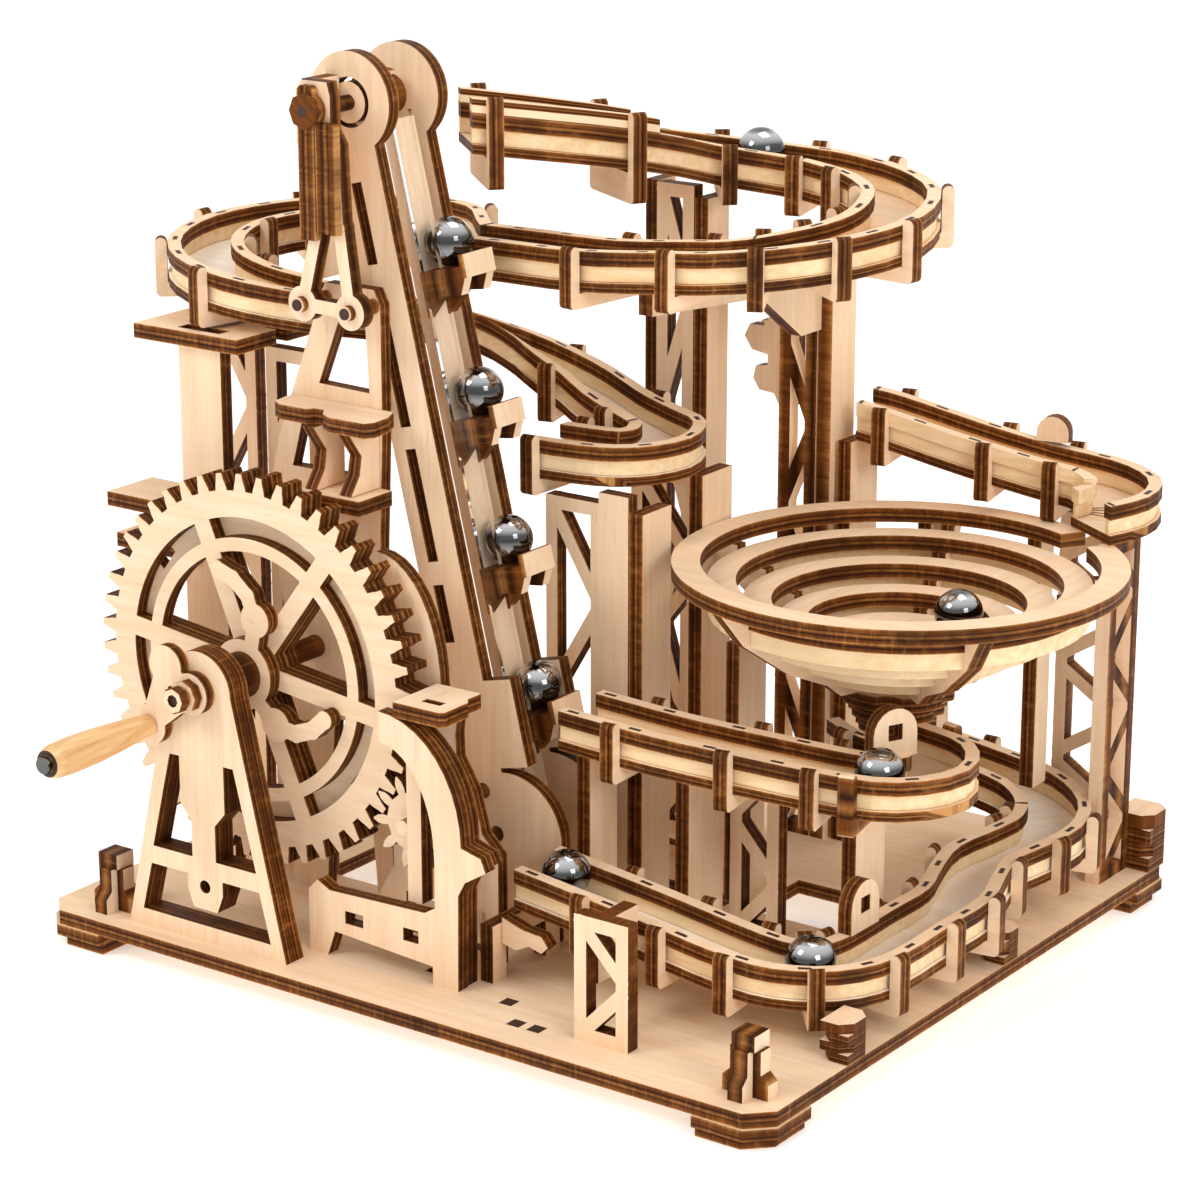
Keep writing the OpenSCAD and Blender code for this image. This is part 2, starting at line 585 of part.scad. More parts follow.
shelf_shares = [[-.655, -.505], [-.675, -.53], [-.665, -.59], [-.63, -.61], [-.545, -.61],
    [-.53, -.59], [-.5, -.59], [-.475, -.625], [-.44, -.645], [-.325, -.645], [-.31, -.62],
    [-.315, -.56], [-.34, -.505]];
shelf_z_share = 1.43;
low_shelf_shares = [-.56, -.64, -.35, -.505, 1.22];
hook_shares = [[-.505, 1.429], [-.625, 1.429], [-.605, 1.4], [-.575, 1.36], [-.585, 1.31], [-.62, 1.262],
    [-.505, 1.262]];
hook_x_shares = [-.43, -.545];
module lift_tower_shelves() color(burnt) {
    xy(shelf_z_share * span, ply) polygon(shelf_shares * span);
    xy(low_shelf_shares[4] * span, ply)
        box2([low_shelf_shares[0], low_shelf_shares[1]] * span, [low_shelf_shares[2], low_shelf_shares[3]] * span);
    for (x = hook_x_shares) yz(x * span, ply) polygon(hook_shares * span);
}

// Scoop chain: the returning run is still, the front run climbs with its scoops
drum_r = 5.2;
belt_t = 1.1;
belt_r = drum_r + gap * 2;
belt_y = -38;
belt_w = 8;
wrap_a = 50;
module wrap(turn) difference() {
    intersection() {
        circle(belt_r + belt_t);
        rotate(turn) polygon([[0, 0], [-head_r, 0], [-head_r, -head_r],
            [head_r * cos(wrap_a), -head_r], [head_r * cos(wrap_a), -head_r * sin(wrap_a) * 1.2]]);
    }
    circle(belt_r);
}
module chain_return() color(burnt) lift_place() xz(belt_y, belt_w) {
    translate([axis_t, 0]) wrap(0);
    translate([axis_t, head_s]) mirror([0, 1]) wrap(0);
    box2([axis_t - belt_r - belt_t, -fit], [axis_t - belt_r, head_s + fit]);
}
run_in = axis_t + belt_r;
scoop_l = 15;
scoop_t = 3;
scoop_tip = 1.7;
scoop_drop = 12;
ball_t = run_in + belt_t + ball_d / 2 + gap;
ball_y = -34;
scoop_half = 6.1;
first_s = 36.5;
module scoop(s) translate([0, 0, s]) {
    top = -ball_d / 2 - fit;
    xz(ball_y - scoop_half, scoop_half * 2) {
        box2([run_in + belt_t - fit, top - scoop_t], [run_in + belt_t + scoop_l, top]);
        box2([run_in + belt_t + scoop_l - scoop_tip, top - fit],
            [run_in + belt_t + scoop_l, top + scoop_t]);
    }
    for (m = [-1, 1]) xz(ball_y + m * (scoop_half - scoop_t / 2) - scoop_t / 2, scoop_t)
        polygon([[run_in + belt_t - fit, top - fit], [run_in + belt_t + scoop_l, top - scoop_t / 2],
            [run_in + belt_t + scoop_l * .8, top - scoop_drop * .6],
            [run_in + belt_t + scoop_l * .4, top - scoop_drop * .55],
            [run_in + belt_t - fit, top - scoop_drop]]);
}
module lift_carriage() color(birch) lift_place() {
    xz(belt_y, belt_w) box2([run_in, ball_d / 2], [run_in + belt_t, head_s - ball_d / 2]);
    for (k = [0:3]) scoop(first_s + k * scoop_gap);
}
module lift_marbles() color(steel) lift_place() for (k = [0:3])
    translate([ball_t, ball_y, first_s + k * scoop_gap]) sphere(d = ball_d);

// Drive pieces: pinion, its shaft and wheel A; lower sprocket with wheel B; upper sprocket
pair_d = norm([low_x - pinion_x, low_z - pinion_z]);
pair_a = atan2(low_z - pinion_z, low_x - pinion_x);
pair_m = pair_d / pair_teeth;
pair_y = -60;
pair_t = 6;
module at_xz(p) translate([p[0], p[1]]) children();
module pinion() color(birch) {
    xz(gear_y, gear_t * 2) at_xz([pinion_x, pinion_z])
        toothed(pinion_teeth, modul, pinion_fill_share, mesh_a + 180);
    xz(pair_y, pair_t) at_xz([pinion_x, pinion_z])
        toothed(pair_teeth, pair_m, pinion_fill_share, pair_a);
    xz(gear_y - gear_t, front_y + frame_t - gear_y + gear_t) at_xz([pinion_x, pinion_z]) circle(shaft_r);
}
disc_back_r = 12.5;
disc_t = 6.5;
drum_w = 10;
module lower_sprocket() color(birch) {
    xz(pair_y, pair_t) at_xz([low_x, low_z])
        toothed(pair_teeth, pair_m, pinion_fill_share, pair_a + 180 / pair_teeth);
    xz(cover_y, -cover_y) at_xz([low_x, low_z]) circle(shaft_r);
    xz(ball_y - drum_w / 2, drum_w) at_xz([low_x, low_z]) circle(drum_r);
    xz(mid_shares[0][0] * span + frame_t + gap, disc_t) at_xz([low_x, low_z]) circle(disc_back_r);
}
module upper_sprocket() color(birch) {
    xz(brace_y_share * span - ply, rear_y + frame_t - brace_y_share * span + ply * 2)
        at_xz(up) circle(shaft_r);
    xz(ball_y - drum_w / 2, drum_w) at_xz(up) circle(drum_r);
    xz(brace_y_share * span - ply / 2 - gap, ply / 2) at_xz(up) circle(nut_r);
    xz(front_y, frame_t) at_xz(up) circle(head_r / 2 - gap * 4);
    xz(rear_y + frame_t + gap, ply / 2) at_xz(up) circle(nut_r);
}

// Towers under the tracks
left_board_shares = [[-.55, -1.03, 0, -.885, 1.6]];
left_truss_shares = [[-.28, -1.16, 0, -1.0, 1.6, 6], [-.42, -.84, 0, -.66, 1.56, 5]];
left_tower_shares = concat(left_board_shares, left_truss_shares);
tongue_shares = [[-1.3, -.56, -.97, -.38, 1.08], [-1.27, -.56, -.97, -.36, .97],
    [-1.16, -.58, -.8, -.24, 1.57]];
module left_tower() color(birch) {
    for (s = left_board_shares) xz(s[0] * span, frame_t)
        box2([s[1] * span, max(s[2] * span, base_top)], [s[3], s[4]] * span);
    trusses(left_truss_shares);
    tongues();
}
module tongues() for (s = tongue_shares)
    xy(s[4] * span, ply) difference() {
        box2([s[0], s[1]] * span, [s[2], s[3]] * span);
        for (q = left_tower_shares) box2([q[1] * span - fit, q[0] * span - fit],
            [q[3] * span + fit, q[0] * span + frame_t + fit]);
    }
back_shares = [[.4, -.15, 0, -.03, 1.95, 6]];
back_post_shares = [[-.2, .42, 0, .5, 1.95], [-.026, .4, 0, .5, 1.92]];
module back_tower() color(birch) { trusses(back_shares); posts(back_post_shares); }
mid_shares = [[-.15, -.12, 0, .06, 1.21, 4], [.24, -.12, 0, .1, 1.21, 4]];
mid_column_share = [.05, 0, .144, 1.24];
mid_post_shares = [[.148, -.15, 0, -.02, 1.2], [.138, .14, 0, .28, 1.24]];
module mid_tower() color(birch) {
    trusses(mid_shares);
    posts(mid_post_shares);
    xz(mid_shares[0][0] * span, frame_t) box2([mid_column_share[0] * span, base_top],
        [mid_column_share[2], mid_column_share[3]] * span);
}
right_shares = [[.6, .12, 0, .24, 1.76, 7]];
right_post_shares = [[.245, .6, 0, .72, 1.78], [.3, .62, 0, .76, 1.254]];
arm_x_share = .21;
tower_arm_shares = [[.64, 1.56], [.64, 1.72], [.4, 1.78], [-.2, 1.8], [-.2, 1.74], [.3, 1.7], [.5, 1.56]];
module right_tower() color(birch) {
    trusses(right_shares);
    posts(right_post_shares);
    yz(arm_x_share * span, frame_t) polygon(tower_arm_shares * span);
}
// Extra guard rails that stand on the start of the upper run
chute_n = 7;
module start_chute() color(burnt) {
    p = [for (i = [0:chute_n]) top_run[i]];
    ribbon(p, channel, half_w, track_h + fit, track_h + rail_t);
    ribbon(p, -half_w, -channel, track_h + fit, track_h + rail_t);
}

// Funnel: stepped flat rings, the pale skirts below them, ribs and posts
funnel_share = [.77, .17];
funnel_z = 110;
ring_step = ring_t + 1.1;
ring_k = 4;
ring_run = 9.2;
module at_funnel() translate([funnel_share[0] * span, funnel_share[1] * span]) children();
mouth_a = 58;
module funnel_rings() color(birch) {
    for (k = [0:ring_k - 1]) xy(funnel_z - ring_t - k * ring_step, ring_t) difference() {
        at_funnel() circle(funnel_r - k * ring_run, $fn = 96);
        at_funnel() circle(funnel_r - k * ring_run - ring_w, $fn = 96);
        if (k == 0) at_funnel() rotate(mouth_a) translate([funnel_r / 2, -channel])
            square([funnel_r, channel * 2]);
    }
    xy(funnel_z - ring_t - ring_k * ring_step, ring_t) difference() {
        at_funnel() circle(funnel_r - ring_k * ring_run + gap - fit, $fn = 96);
        at_funnel() circle(ball_d / 2 + ball_play * 2);
    }
}
skirt_t = 2.4;
rib_n = 5;
rib_turn = -110;
neck_z = 78;
// Bands that stand under the lower rings, parted where the ribs pass
module funnel_skirts() for (k = [1:ring_k])
    xy(funnel_z - ring_t - k * ring_step - ring_step * .85, ring_step * .85) at_funnel()
        difference() {
            circle(funnel_r - k * ring_run - gap, $fn = 96);
            circle(funnel_r - k * ring_run - gap - skirt_t, $fn = 96);
            for (j = [0:rib_n - 1]) rotate(j * 360 / rib_n + rib_turn)
                translate([0, -ply / 2 - fit]) square([funnel_r, ply + fit * 2]);
        }
module funnel_ribs() color(burnt) {
    funnel_skirts();
    ribs();
}
module ribs() at_funnel() for (j = [0:rib_n - 1])
    rotate([0, 0, j * 360 / rib_n + rib_turn])
    translate([0, ply / 2, 0]) rotate([90, 0, 0]) linear_extrude(ply) polygon(concat(
        [[funnel_r - gap, funnel_z - ring_t]],
        [for (k = [1:ring_k]) each [
            [funnel_r - k * ring_run + gap, funnel_z - ring_t - (k - 1) * ring_step],
            [funnel_r - k * ring_run + gap, funnel_z - ring_t - k * ring_step]]],
        [[ball_d, funnel_z - ring_t - ring_k * ring_step], [ball_d, neck_z],
        [ball_d + strut * 2, neck_z], [funnel_r / 2.4, funnel_z - ring_t * 2 - ring_k * ring_step],
        [funnel_r / 1.6, funnel_z - ring_t * 2 - (ring_k - 1) * ring_step],
        [funnel_r - ring_w, funnel_z - ring_t * 2 - ring_step]]));
funnel_post_shares = [[-.802, -.154, 0, .068, .82], [-.3925, .819, .4, 1.024, 1.058],
    [.1536, .87, .36, .99, 1.058]];
neck_truss_shares = [[.235, .54, .7, .86, .81, 3]];
module funnel_posts() color(birch) {
    for (s = funnel_post_shares) yz(funnel_share[0] * span + s[0] * funnel_r, frame_t)
        box2([funnel_share[1] * span + s[1] * funnel_r, max(s[2] * span, base_top)],
            [funnel_share[1] * span + s[3] * funnel_r, s[4] * span]);
    trusses(neck_truss_shares);
}
truss_tower_shares = [[.9, .84, 0, 1.04, 1.08, 7]];
truss_side_shares = [.74, .9, 1.06];
module truss_tower() color(birch) {
    trusses(truss_tower_shares);
    yz(truss_tower_shares[0][3] * span + fit, frame_t)
        truss([truss_side_shares[0] * span, base_top], [truss_side_shares[1], truss_side_shares[2]] * span, 6);
}
middle_leg_shares = [[.4, -.3, 0, -.14, .6], [.84, -.2, 0, -.06, .59], [.16, -.4, 0, -.28, .63]];
module middle_legs() color(birch) {
    posts(middle_leg_shares);
    trusses([[-.12, .45, 0, .6, .59, 3]]);
}
stack_shares = [[1.04, .9, 1.15, 1.02, .1, .26], [1.07, .1, 1.15, .2, .1, .182],
    [1.07, -.66, 1.15, -.55, .1, .2]];
kframe_share = [-.91, .52, .68, .43, .24, -.7];
stack_n = 4;
stack_cut = 2;
module edge_stacks() color(burnt) {
    for (s = stack_shares, k = [0:stack_n - 1]) {
        h = (s[5] * span - base_top) / stack_n;
        xy(base_top + k * h, h) difference() {
            box2([s[0], s[1]] * span, [s[2], s[3]] * span);
            translate([s[k % 2 == 0 ? 0 : 2], s[1]] * span) rotate(45)
                square(stack_cut * 2, center = true);
            translate([s[2], s[3]] * span) rotate(45) square(stack_cut * 2, center = true);
        }
    }
    xz(kframe_share[0] * span, frame_t)
        truss([kframe_share[1] * span, base_top], [kframe_share[2], kframe_share[3]] * span, 2);
    yz(kframe_share[1] * span, frame_t) box2([kframe_share[0] * span + frame_t + gap / 3,
        kframe_share[4] * span], [kframe_share[5] * span, kframe_share[3] * span - strut]);
}

// Loose steel marbles resting in their tracks
function ball_on(p, i) = p[i] + [0, 0, floor_t + ball_d / 2 + gap];
ball_steps = [13, 1, 10, 11];
module marble_top() color(steel) translate(ball_on(top_run, ball_steps[0])) sphere(d = ball_d);
module marble_low() color(steel) translate(ball_on(lower_run, ball_steps[1])) sphere(d = ball_d);
module marble_corner() color(steel) translate(ball_on(lower_run, ball_steps[2])) sphere(d = ball_d);
module marble_middle() color(steel) translate(ball_on(middle_run, ball_steps[3])) sphere(d = ball_d);
funnel_ball_a = 34.7;
module marble_funnel() color(steel)
    translate([funnel_share[0] * span, funnel_share[1] * span,
        funnel_z - ring_k * ring_step + ball_d / 2 + gap])
    rotate([0, 0, funnel_ball_a]) translate([funnel_r - ring_k * ring_run - ball_d / 2, 0, 0])
    sphere(d = ball_d);

// The origin lies on the floor under the middle of the whole outline
centre_shares = [.0036, -.18];
module placed() translate([-centre_shares[0] * span, -centre_shares[1] * span, 0]) children();

placed() base_plate();
placed() corner_feet();
placed() corner_bollards();
placed() crank_stand();
placed() arch_frame();
placed() arch_panel();
placed() drive_cover();
placed() drive_shelf();
placed() lift_tower();
placed() lift_tower_shelves();
placed() lift_side_front();
placed() lift_side_rear();
placed() lift_guard();
placed() lift_brace();
placed() chain_return();
placed() left_tower();
placed() back_tower();
placed() mid_tower();
placed() right_tower();
placed() top_floor();
placed() top_rails();
placed() top_strips();
placed() top_clamps();
placed() start_chute();
placed() left_floor();
placed() left_rails();
placed() left_strips();
placed() left_clamps();
placed() slide_floor();
placed() slide_rails();
placed() slide_clamps();
placed() funnel_rings();
placed() funnel_ribs();
placed() funnel_posts();
placed() truss_tower();
placed() middle_floor();
placed() middle_rails();
placed() middle_clamps();
placed() middle_legs();
placed() lower_floor();
placed() lower_rails();
placed() lower_clamps();
placed() edge_stacks();
placed() gear_front();
placed() gear_back();
placed() gear_arms();
placed() crank_axle();
placed() crank_arm();
placed() grip_pin();
placed() crank_grip();
placed() pinion();
placed() lower_sprocket();
placed() upper_sprocket();
placed() lift_carriage();
placed() lift_marbles();
placed() marble_top();
placed() marble_low();
placed() marble_corner();
placed() marble_middle();
placed() marble_funnel();
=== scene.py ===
"""Looks for the wooden marble run: laser-cut plywood, steel marbles, a clear guard strip."""

import math

import bpy
import numpy as np
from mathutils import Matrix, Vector


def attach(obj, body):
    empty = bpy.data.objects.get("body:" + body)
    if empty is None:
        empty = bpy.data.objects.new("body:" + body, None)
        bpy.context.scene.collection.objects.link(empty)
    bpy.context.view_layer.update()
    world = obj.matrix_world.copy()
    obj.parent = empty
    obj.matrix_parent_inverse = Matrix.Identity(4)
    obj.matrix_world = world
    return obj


MM = 0.001

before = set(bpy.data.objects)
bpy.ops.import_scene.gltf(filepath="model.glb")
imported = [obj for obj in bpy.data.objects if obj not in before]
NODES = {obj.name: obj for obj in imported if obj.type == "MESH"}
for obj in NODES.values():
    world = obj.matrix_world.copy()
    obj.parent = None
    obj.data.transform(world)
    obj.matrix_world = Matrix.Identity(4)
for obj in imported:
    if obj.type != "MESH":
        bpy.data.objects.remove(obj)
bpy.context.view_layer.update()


# Nodes whose solids are swept along a track, so that their sides are read from bottom to top
RIBBONS = [n for n in NODES if n.endswith(("_floor", "_rails", "_strips")) or n == "start_chute"]
STEEL = [n for n in NODES if n.startswith("marble") or n in ("lift_marbles", "grip_pin")]
# How many sheets are glued into one plate, where there is more than one
GLUED = {"crank_stand": 2, "edge_stacks": 4}
# The tracks whose floors are painted almost white: a painted sheen for the glare off their glossy tops
WHITE_TRACKS = ("lower_floor", "left_floor")
# These nodes hold the thin pale strips as well as the burnt rails. A rail is as wide as high,
# while a strip's flat top and bottom are well under this share of its sides.
WITH_STRIPS = ("lower_rails", "middle_rails", "slide_rails")
STRIP_SHARE = 0.7
# The stacks in edge_stacks are wider than this both ways. The frames beside them are thinner.
STACK_WIDTH = 6 * MM
# A face counts as part of a sheet's flat side up to about 45 degrees from it
FLAT = 0.7
# How far U runs in a metre along a plate
UV_SCALE = 40
# A colour ramp holds 32 stops at most, so a long list is cut short
RAMP_STOPS = 31


# ---------------------------------------------------------------- node helpers
class Tree:
    """A few short words for building node materials."""

    def __init__(self, name):
        self.mat = bpy.data.materials.new(name)
        self.mat.use_nodes = True
        self.t = self.mat.node_tree
        self.bsdf = self.t.nodes["Principled BSDF"]

    def add(self, kind, **props):
        n = self.t.nodes.new(kind)
        for k, v in props.items():
            setattr(n, k, v)
        return n

    def join(self, a, b):
        self.t.links.new(a, b)

    def value(self, socket, v):
        if hasattr(v, "is_output"):
            self.join(v, socket)
        else:
            socket.default_value = v

    def math(self, op, a, b=0.0, clamp=False):
        n = self.add("ShaderNodeMath", operation=op, use_clamp=clamp)
        self.value(n.inputs[0], a)
        self.value(n.inputs[1], b)
        return n.outputs[0]

    def mix(self, fac, a, b):
        n = self.add("ShaderNodeMix", data_type="RGBA")
        self.value(n.inputs["Factor"], fac)
        for s, v in ((n.inputs[6], a), (n.inputs[7], b)):
            self.value(s, v if hasattr(v, "is_output") else (*v, 1))
        return n.outputs[2]

    def stain(self, col, colour, a, b, gain):
        """Lays a colour over col where a is above b, and more of it the further above."""
        amount = self.math("MULTIPLY", self.math("SUBTRACT", a, b, True), gain, True)
        return self.mix(amount, col, colour)

    def noise(self, vec, scale, detail=3.0, rough=0.55, distort=0.0):
        n = self.add("ShaderNodeTexNoise")
        self.join(vec, n.inputs["Vector"])
        for key, v in (("Scale", scale), ("Detail", detail), ("Roughness", rough),
                       ("Distortion", distort)):
            n.inputs[key].default_value = v
        return n.outputs["Fac"]

    def sway(self, noise, width):
        """Turns a noise into a small shift either way."""
        return self.math("MULTIPLY", self.math("SUBTRACT", noise, 0.5), width)

    def ramp(self, fac, stops):
        n = self.add("ShaderNodeValToRGB")
        self.join(fac, n.inputs["Fac"])
        e = n.color_ramp.elements
        e[0].position, e[1].position = stops[0][0], stops[-1][0]
        e[0].color, e[1].color = (*stops[0][1], 1), (*stops[-1][1], 1)
        for p, c in stops[1:-1]:
            e.new(p).color = (*c, 1)
        return n.outputs["Color"]

    def stretched(self, *scale):
        """Object coordinates, scaled the same all ways or by axis."""
        m = self.add("ShaderNodeMapping")
        m.inputs["Scale"].default_value = scale if len(scale) == 3 else scale * 3
        self.join(self.add("ShaderNodeTexCoord").outputs["Object"], m.inputs["Vector"])
        return m.outputs["Vector"]

    def parts(self, output):
        """The X, Y and Z of one of the texture coordinates."""
        sep = self.add("ShaderNodeSeparateXYZ")
        self.join(self.add("ShaderNodeTexCoord").outputs[output], sep.inputs[0])
        return sep.outputs["X"], sep.outputs["Y"], sep.outputs["Z"]

    def surface(self, colour, rough, specular=None):
        self.value(self.bsdf.inputs["Base Color"], colour)
        self.value(self.bsdf.inputs["Roughness"], rough)
        if specular is not None:
            self.bsdf.inputs["Specular IOR Level"].default_value = specular

    def bump(self, height, strength):
        b = self.add("ShaderNodeBump")
        b.inputs["Strength"].default_value = strength
        b.inputs["Distance"].default_value = 0.4 * MM
        self.join(height, b.inputs["Height"])
        self.join(b.outputs["Normal"], self.bsdf.inputs["Normal"])


def srgb(r, g, b):
    def f(c):
        c /= 255.0
        return c / 12.92 if c <= 0.04045 else ((c + 0.055) / 1.055) ** 2.4

    return f(r), f(g), f(b)


# ------------------------------------------------------------------- materials
def face_material(name, light, dark, grain_axis, spread=1.0, rough=0.62, specular=0.14):
    """The sanded birch face: fine grain along one axis, with soft blotches and a few pores."""
    t = Tree(name)
    across, along, pore = 260.0, 16.0, 3.4
    stretch = [along if k == grain_axis else across for k in range(3)]
    fine = t.noise(t.stretched(*stretch), 1.6, 4, 0.6, 0.4)
    broad = t.noise(t.stretched(26), 1.0, 2, 0.5)
    pores = t.noise(t.stretched(*(s * pore for s in stretch)), 1.8, 2, 0.7)
    middle = tuple((a + b) / 2 for a, b in zip(light, dark))
    col = t.ramp(fine, [(0.32, dark), (0.5, middle), (0.66, light)])
    col = t.stain(col, tuple(c * 0.72 for c in dark), broad, 0.45, 0.9 * spread)
    col = t.mix(t.math("MULTIPLY", t.math("GREATER_THAN", pores, 0.69), 0.25), col, srgb(176, 132, 84))
    t.surface(col, rough, specular)
    t.bump(fine, 0.1)
    return t.mat


def ply_layers(sheets):
    """Ramp stops over the cut edge of a plate: three scorched layers to each sheet, with dark glue
    lines between them and a paler rim at both sides."""
    brown, tan, rim = srgb(114, 64, 25), srgb(162, 104, 52), srgb(206, 152, 94)
    line, joint, deep = srgb(38, 16, 4), srgb(42, 21, 9), srgb(66, 32, 9)
    edge = 0.05 / sheets
    stops = [(0.0, rim), (edge, tan)]
    layers = 3 * sheets
    w = 1 / layers
    for i in range(layers):
        core = i % 3 == 1
        stops.append(((i + (0.3 if i == 0 else 0.12)) * w, deep if core else brown))
        stops.append(((i + 0.55) * w, tan if core else brown))
        if i < layers - 1:
            stops.append(((i + 0.96) * w, line if (i + 1) % 3 else joint))
    stops += [(1 - edge, tan), (1.0, rim)]
    return sorted(stops, key=lambda s: s[0])[:RAMP_STOPS]


def edge_material(name, sheets):
    """The laser-cut edge: scorched layers read from the V coordinate, with the fine streaks of the
    cut running across them."""
    t = Tree(name)
    u, v, _ = t.parts("UV")
    comb = t.add("ShaderNodeCombineXYZ")
    t.join(t.math("MULTIPLY", u, 26.0), comb.inputs[0])
    t.join(t.math("MULTIPLY", v, 0.7), comb.inputs[1])
    streak = t.noise(comb.outputs[0], 1.0, 3, 0.65)
    wob = t.noise(t.stretched(130), 1.0, 3, 0.6)
    soot = t.noise(t.stretched(46), 1.0, 3, 0.6)
    col = t.ramp(t.math("ADD", v, t.sway(wob, 0.09 / sheets)), ply_layers(sheets))
    col = t.stain(col, srgb(66, 32, 10), streak, 0.44, 2.6)
    col = t.stain(col, srgb(186, 126, 70), 0.44, streak, 2.0)
    col = t.stain(col, srgb(46, 22, 8), soot, 0.46, 3.0)
    t.surface(col, 0.5, 0.08)
    t.bump(streak, 0.3)
    return t.mat


def rail_on_strip():
    """The start chute's sides: a burnt rail over a pale strip, read from the V coordinate."""
    t = Tree("rail_on_strip")
    _, v, _ = t.parts("UV")
    wob = t.noise(t.stretched(130), 1.0, 3, 0.6)
    pale, brown = srgb(250, 226, 190), srgb(108, 60, 24)
    tan, line = srgb(158, 100, 50), srgb(40, 18, 5)
    strip = [(0.0, line), (0.04, tan), (0.09, pale), (0.56, pale)]
    rail = [(0.6, tan), (0.63, brown), (0.72, line), (0.76, brown), (0.82, tan), (0.87, line),
            (0.92, brown), (1.0, tan)]
    t.surface(t.ramp(t.math("ADD", v, t.sway(wob, 0.03)), strip + rail), 0.55, 0.08)
    t.bump(wob, 0.2)
    return t.mat


def steel_material():
    """Polished steel, with painted reflections: the dark and light bands that a studio leaves on a ball,
    painted by which way the surface faces.
    """
    t = Tree("steel")
    _, _, z = t.parts("Normal")
    height = t.math("ADD", t.math("MULTIPLY", z, 0.5), 0.5)
    wave = t.noise(t.stretched(90), 1.0, 2, 0.5)
    height = t.math("ADD", height, t.sway(wave, 0.1))
    # Painted reflection: greys by how far the surface faces up, with a dark band just above the middle
    # and a bright band high up
    reflection_greys = [(0.0, 120), (0.4, 132), (0.56, 70), (0.68, 84), (0.78, 178), (0.88, 205), (0.96, 110)]
    fine = t.noise(t.stretched(400), 1.0, 3, 0.6)
    t.surface(t.ramp(height, [(p, srgb(c, c, c)) for p, c in reflection_greys]),
              t.math("ADD", t.math("MULTIPLY", fine, 0.05), 0.04))
    t.bsdf.inputs["Metallic"].default_value = 1.0
    return t.mat


def clear_material():
    t = Tree("clear_strip")
    t.surface((0.97, 0.985, 1.0, 1), 0.04)
    t.bsdf.inputs["IOR"].default_value = 1.2
    t.bsdf.inputs["Transmission Weight"].default_value = 1.0
    t.bump(t.noise(t.stretched(120, 120, 20), 1.0, 2, 0.5), 0.02)
    return t.mat


def grip_material():
    t = Tree("turned_grip")
    fine = t.noise(t.stretched(300, 24, 300), 1.5, 4, 0.6, 0.5)
    t.surface(t.ramp(fine, [(0.3, srgb(206, 154, 96)), (0.5, srgb(226, 180, 124)),
                            (0.7, srgb(240, 202, 150))]), 0.4)
    t.bump(fine, 0.12)
    return t.mat


def soot_and_shade_material():
    """A dark burnt finish with a little unevenness, also used as painted shade in the base board's
    slots.
    """
    t = Tree("soot")
    n = t.noise(t.stretched(300), 1.0, 3, 0.6)
    colour = srgb(58, 30, 12)
    t.surface(t.ramp(n, [(0.35, tuple(c * 0.7 for c in colour)), (0.65, colour)]), 0.6)
    t.bump(n, 0.2)
    return t.mat


FACES = [face_material("birch_face_%s" % "xyz"[k], srgb(250, 222, 192), srgb(241, 207, 170), k)
         for k in range(3)]
STRIP = face_material("birch_strip", srgb(252, 228, 190), srgb(238, 204, 156), 0)
# Painted sheen: a near-white birch for the two bright track floors, standing in for the glare off their
# glossy tops
SHEEN_PAINTED_FLOOR = face_material("painted_sheen_track", srgb(255, 248, 238), srgb(250, 234, 214), 0, 0.3, 0.34, 0.7)
EDGES = {k: edge_material("burnt_edge_%d" % k, k) for k in (1, 2, 4)}
CHUTE_SIDE = rail_on_strip()
# Burnt dark pieces, and painted shade in the base board's slots
SOOT_AND_SHADE = soot_and_shade_material()
# Material slots of a dressed node: its flat faces by the axis of their grain, then these two
SLOT_EDGE, SLOT_STRIP = 3, 4


# ------------------------------------------------- which way each plate faces
def places(co):
    """One number for every point, the same for points that share a place."""
    _, idx = np.unique(np.round(co * 1e6).astype(np.int64), axis=0, return_inverse=True)
    return idx.reshape(-1)


def parts_of(idx, tris):
    """Groups triangles into closed pieces, joining points that share a place."""
    parent = np.arange(idx.max() + 1)

    def root(a):
        while parent[a] != a:
            parent[a] = parent[parent[a]]
            a = parent[a]
        return a

    for tri in idx[tris]:
        a = root(tri[0])
        for b in tri[1:]:
            b = root(b)
            if a != b:
                parent[b] = a
    return np.array([root(idx[t[0]]) for t in tris])


def read(items, key, width=1, kind=float):
    out = np.zeros(len(items) * width, kind)
    items.foreach_get(key, out)
    return out.reshape(-1, width) if width > 1 else out


def sheet_direction(nor, area):
    """The direction that most of a piece's surface faces, which is square to its sheet. The eight
    biggest faces and the three axes are tried, and a face counts within ten degrees of one."""
    biggest = np.argsort(-area)[:8]
    tries = [nor[b] for b in biggest] + list(np.eye(3))
    return max(tries, key=lambda c: area[np.abs(nor @ c) > 0.985].sum())


def set_materials(obj, materials):
    obj.data.materials.clear()
    for m in materials:
        obj.data.materials.append(m)


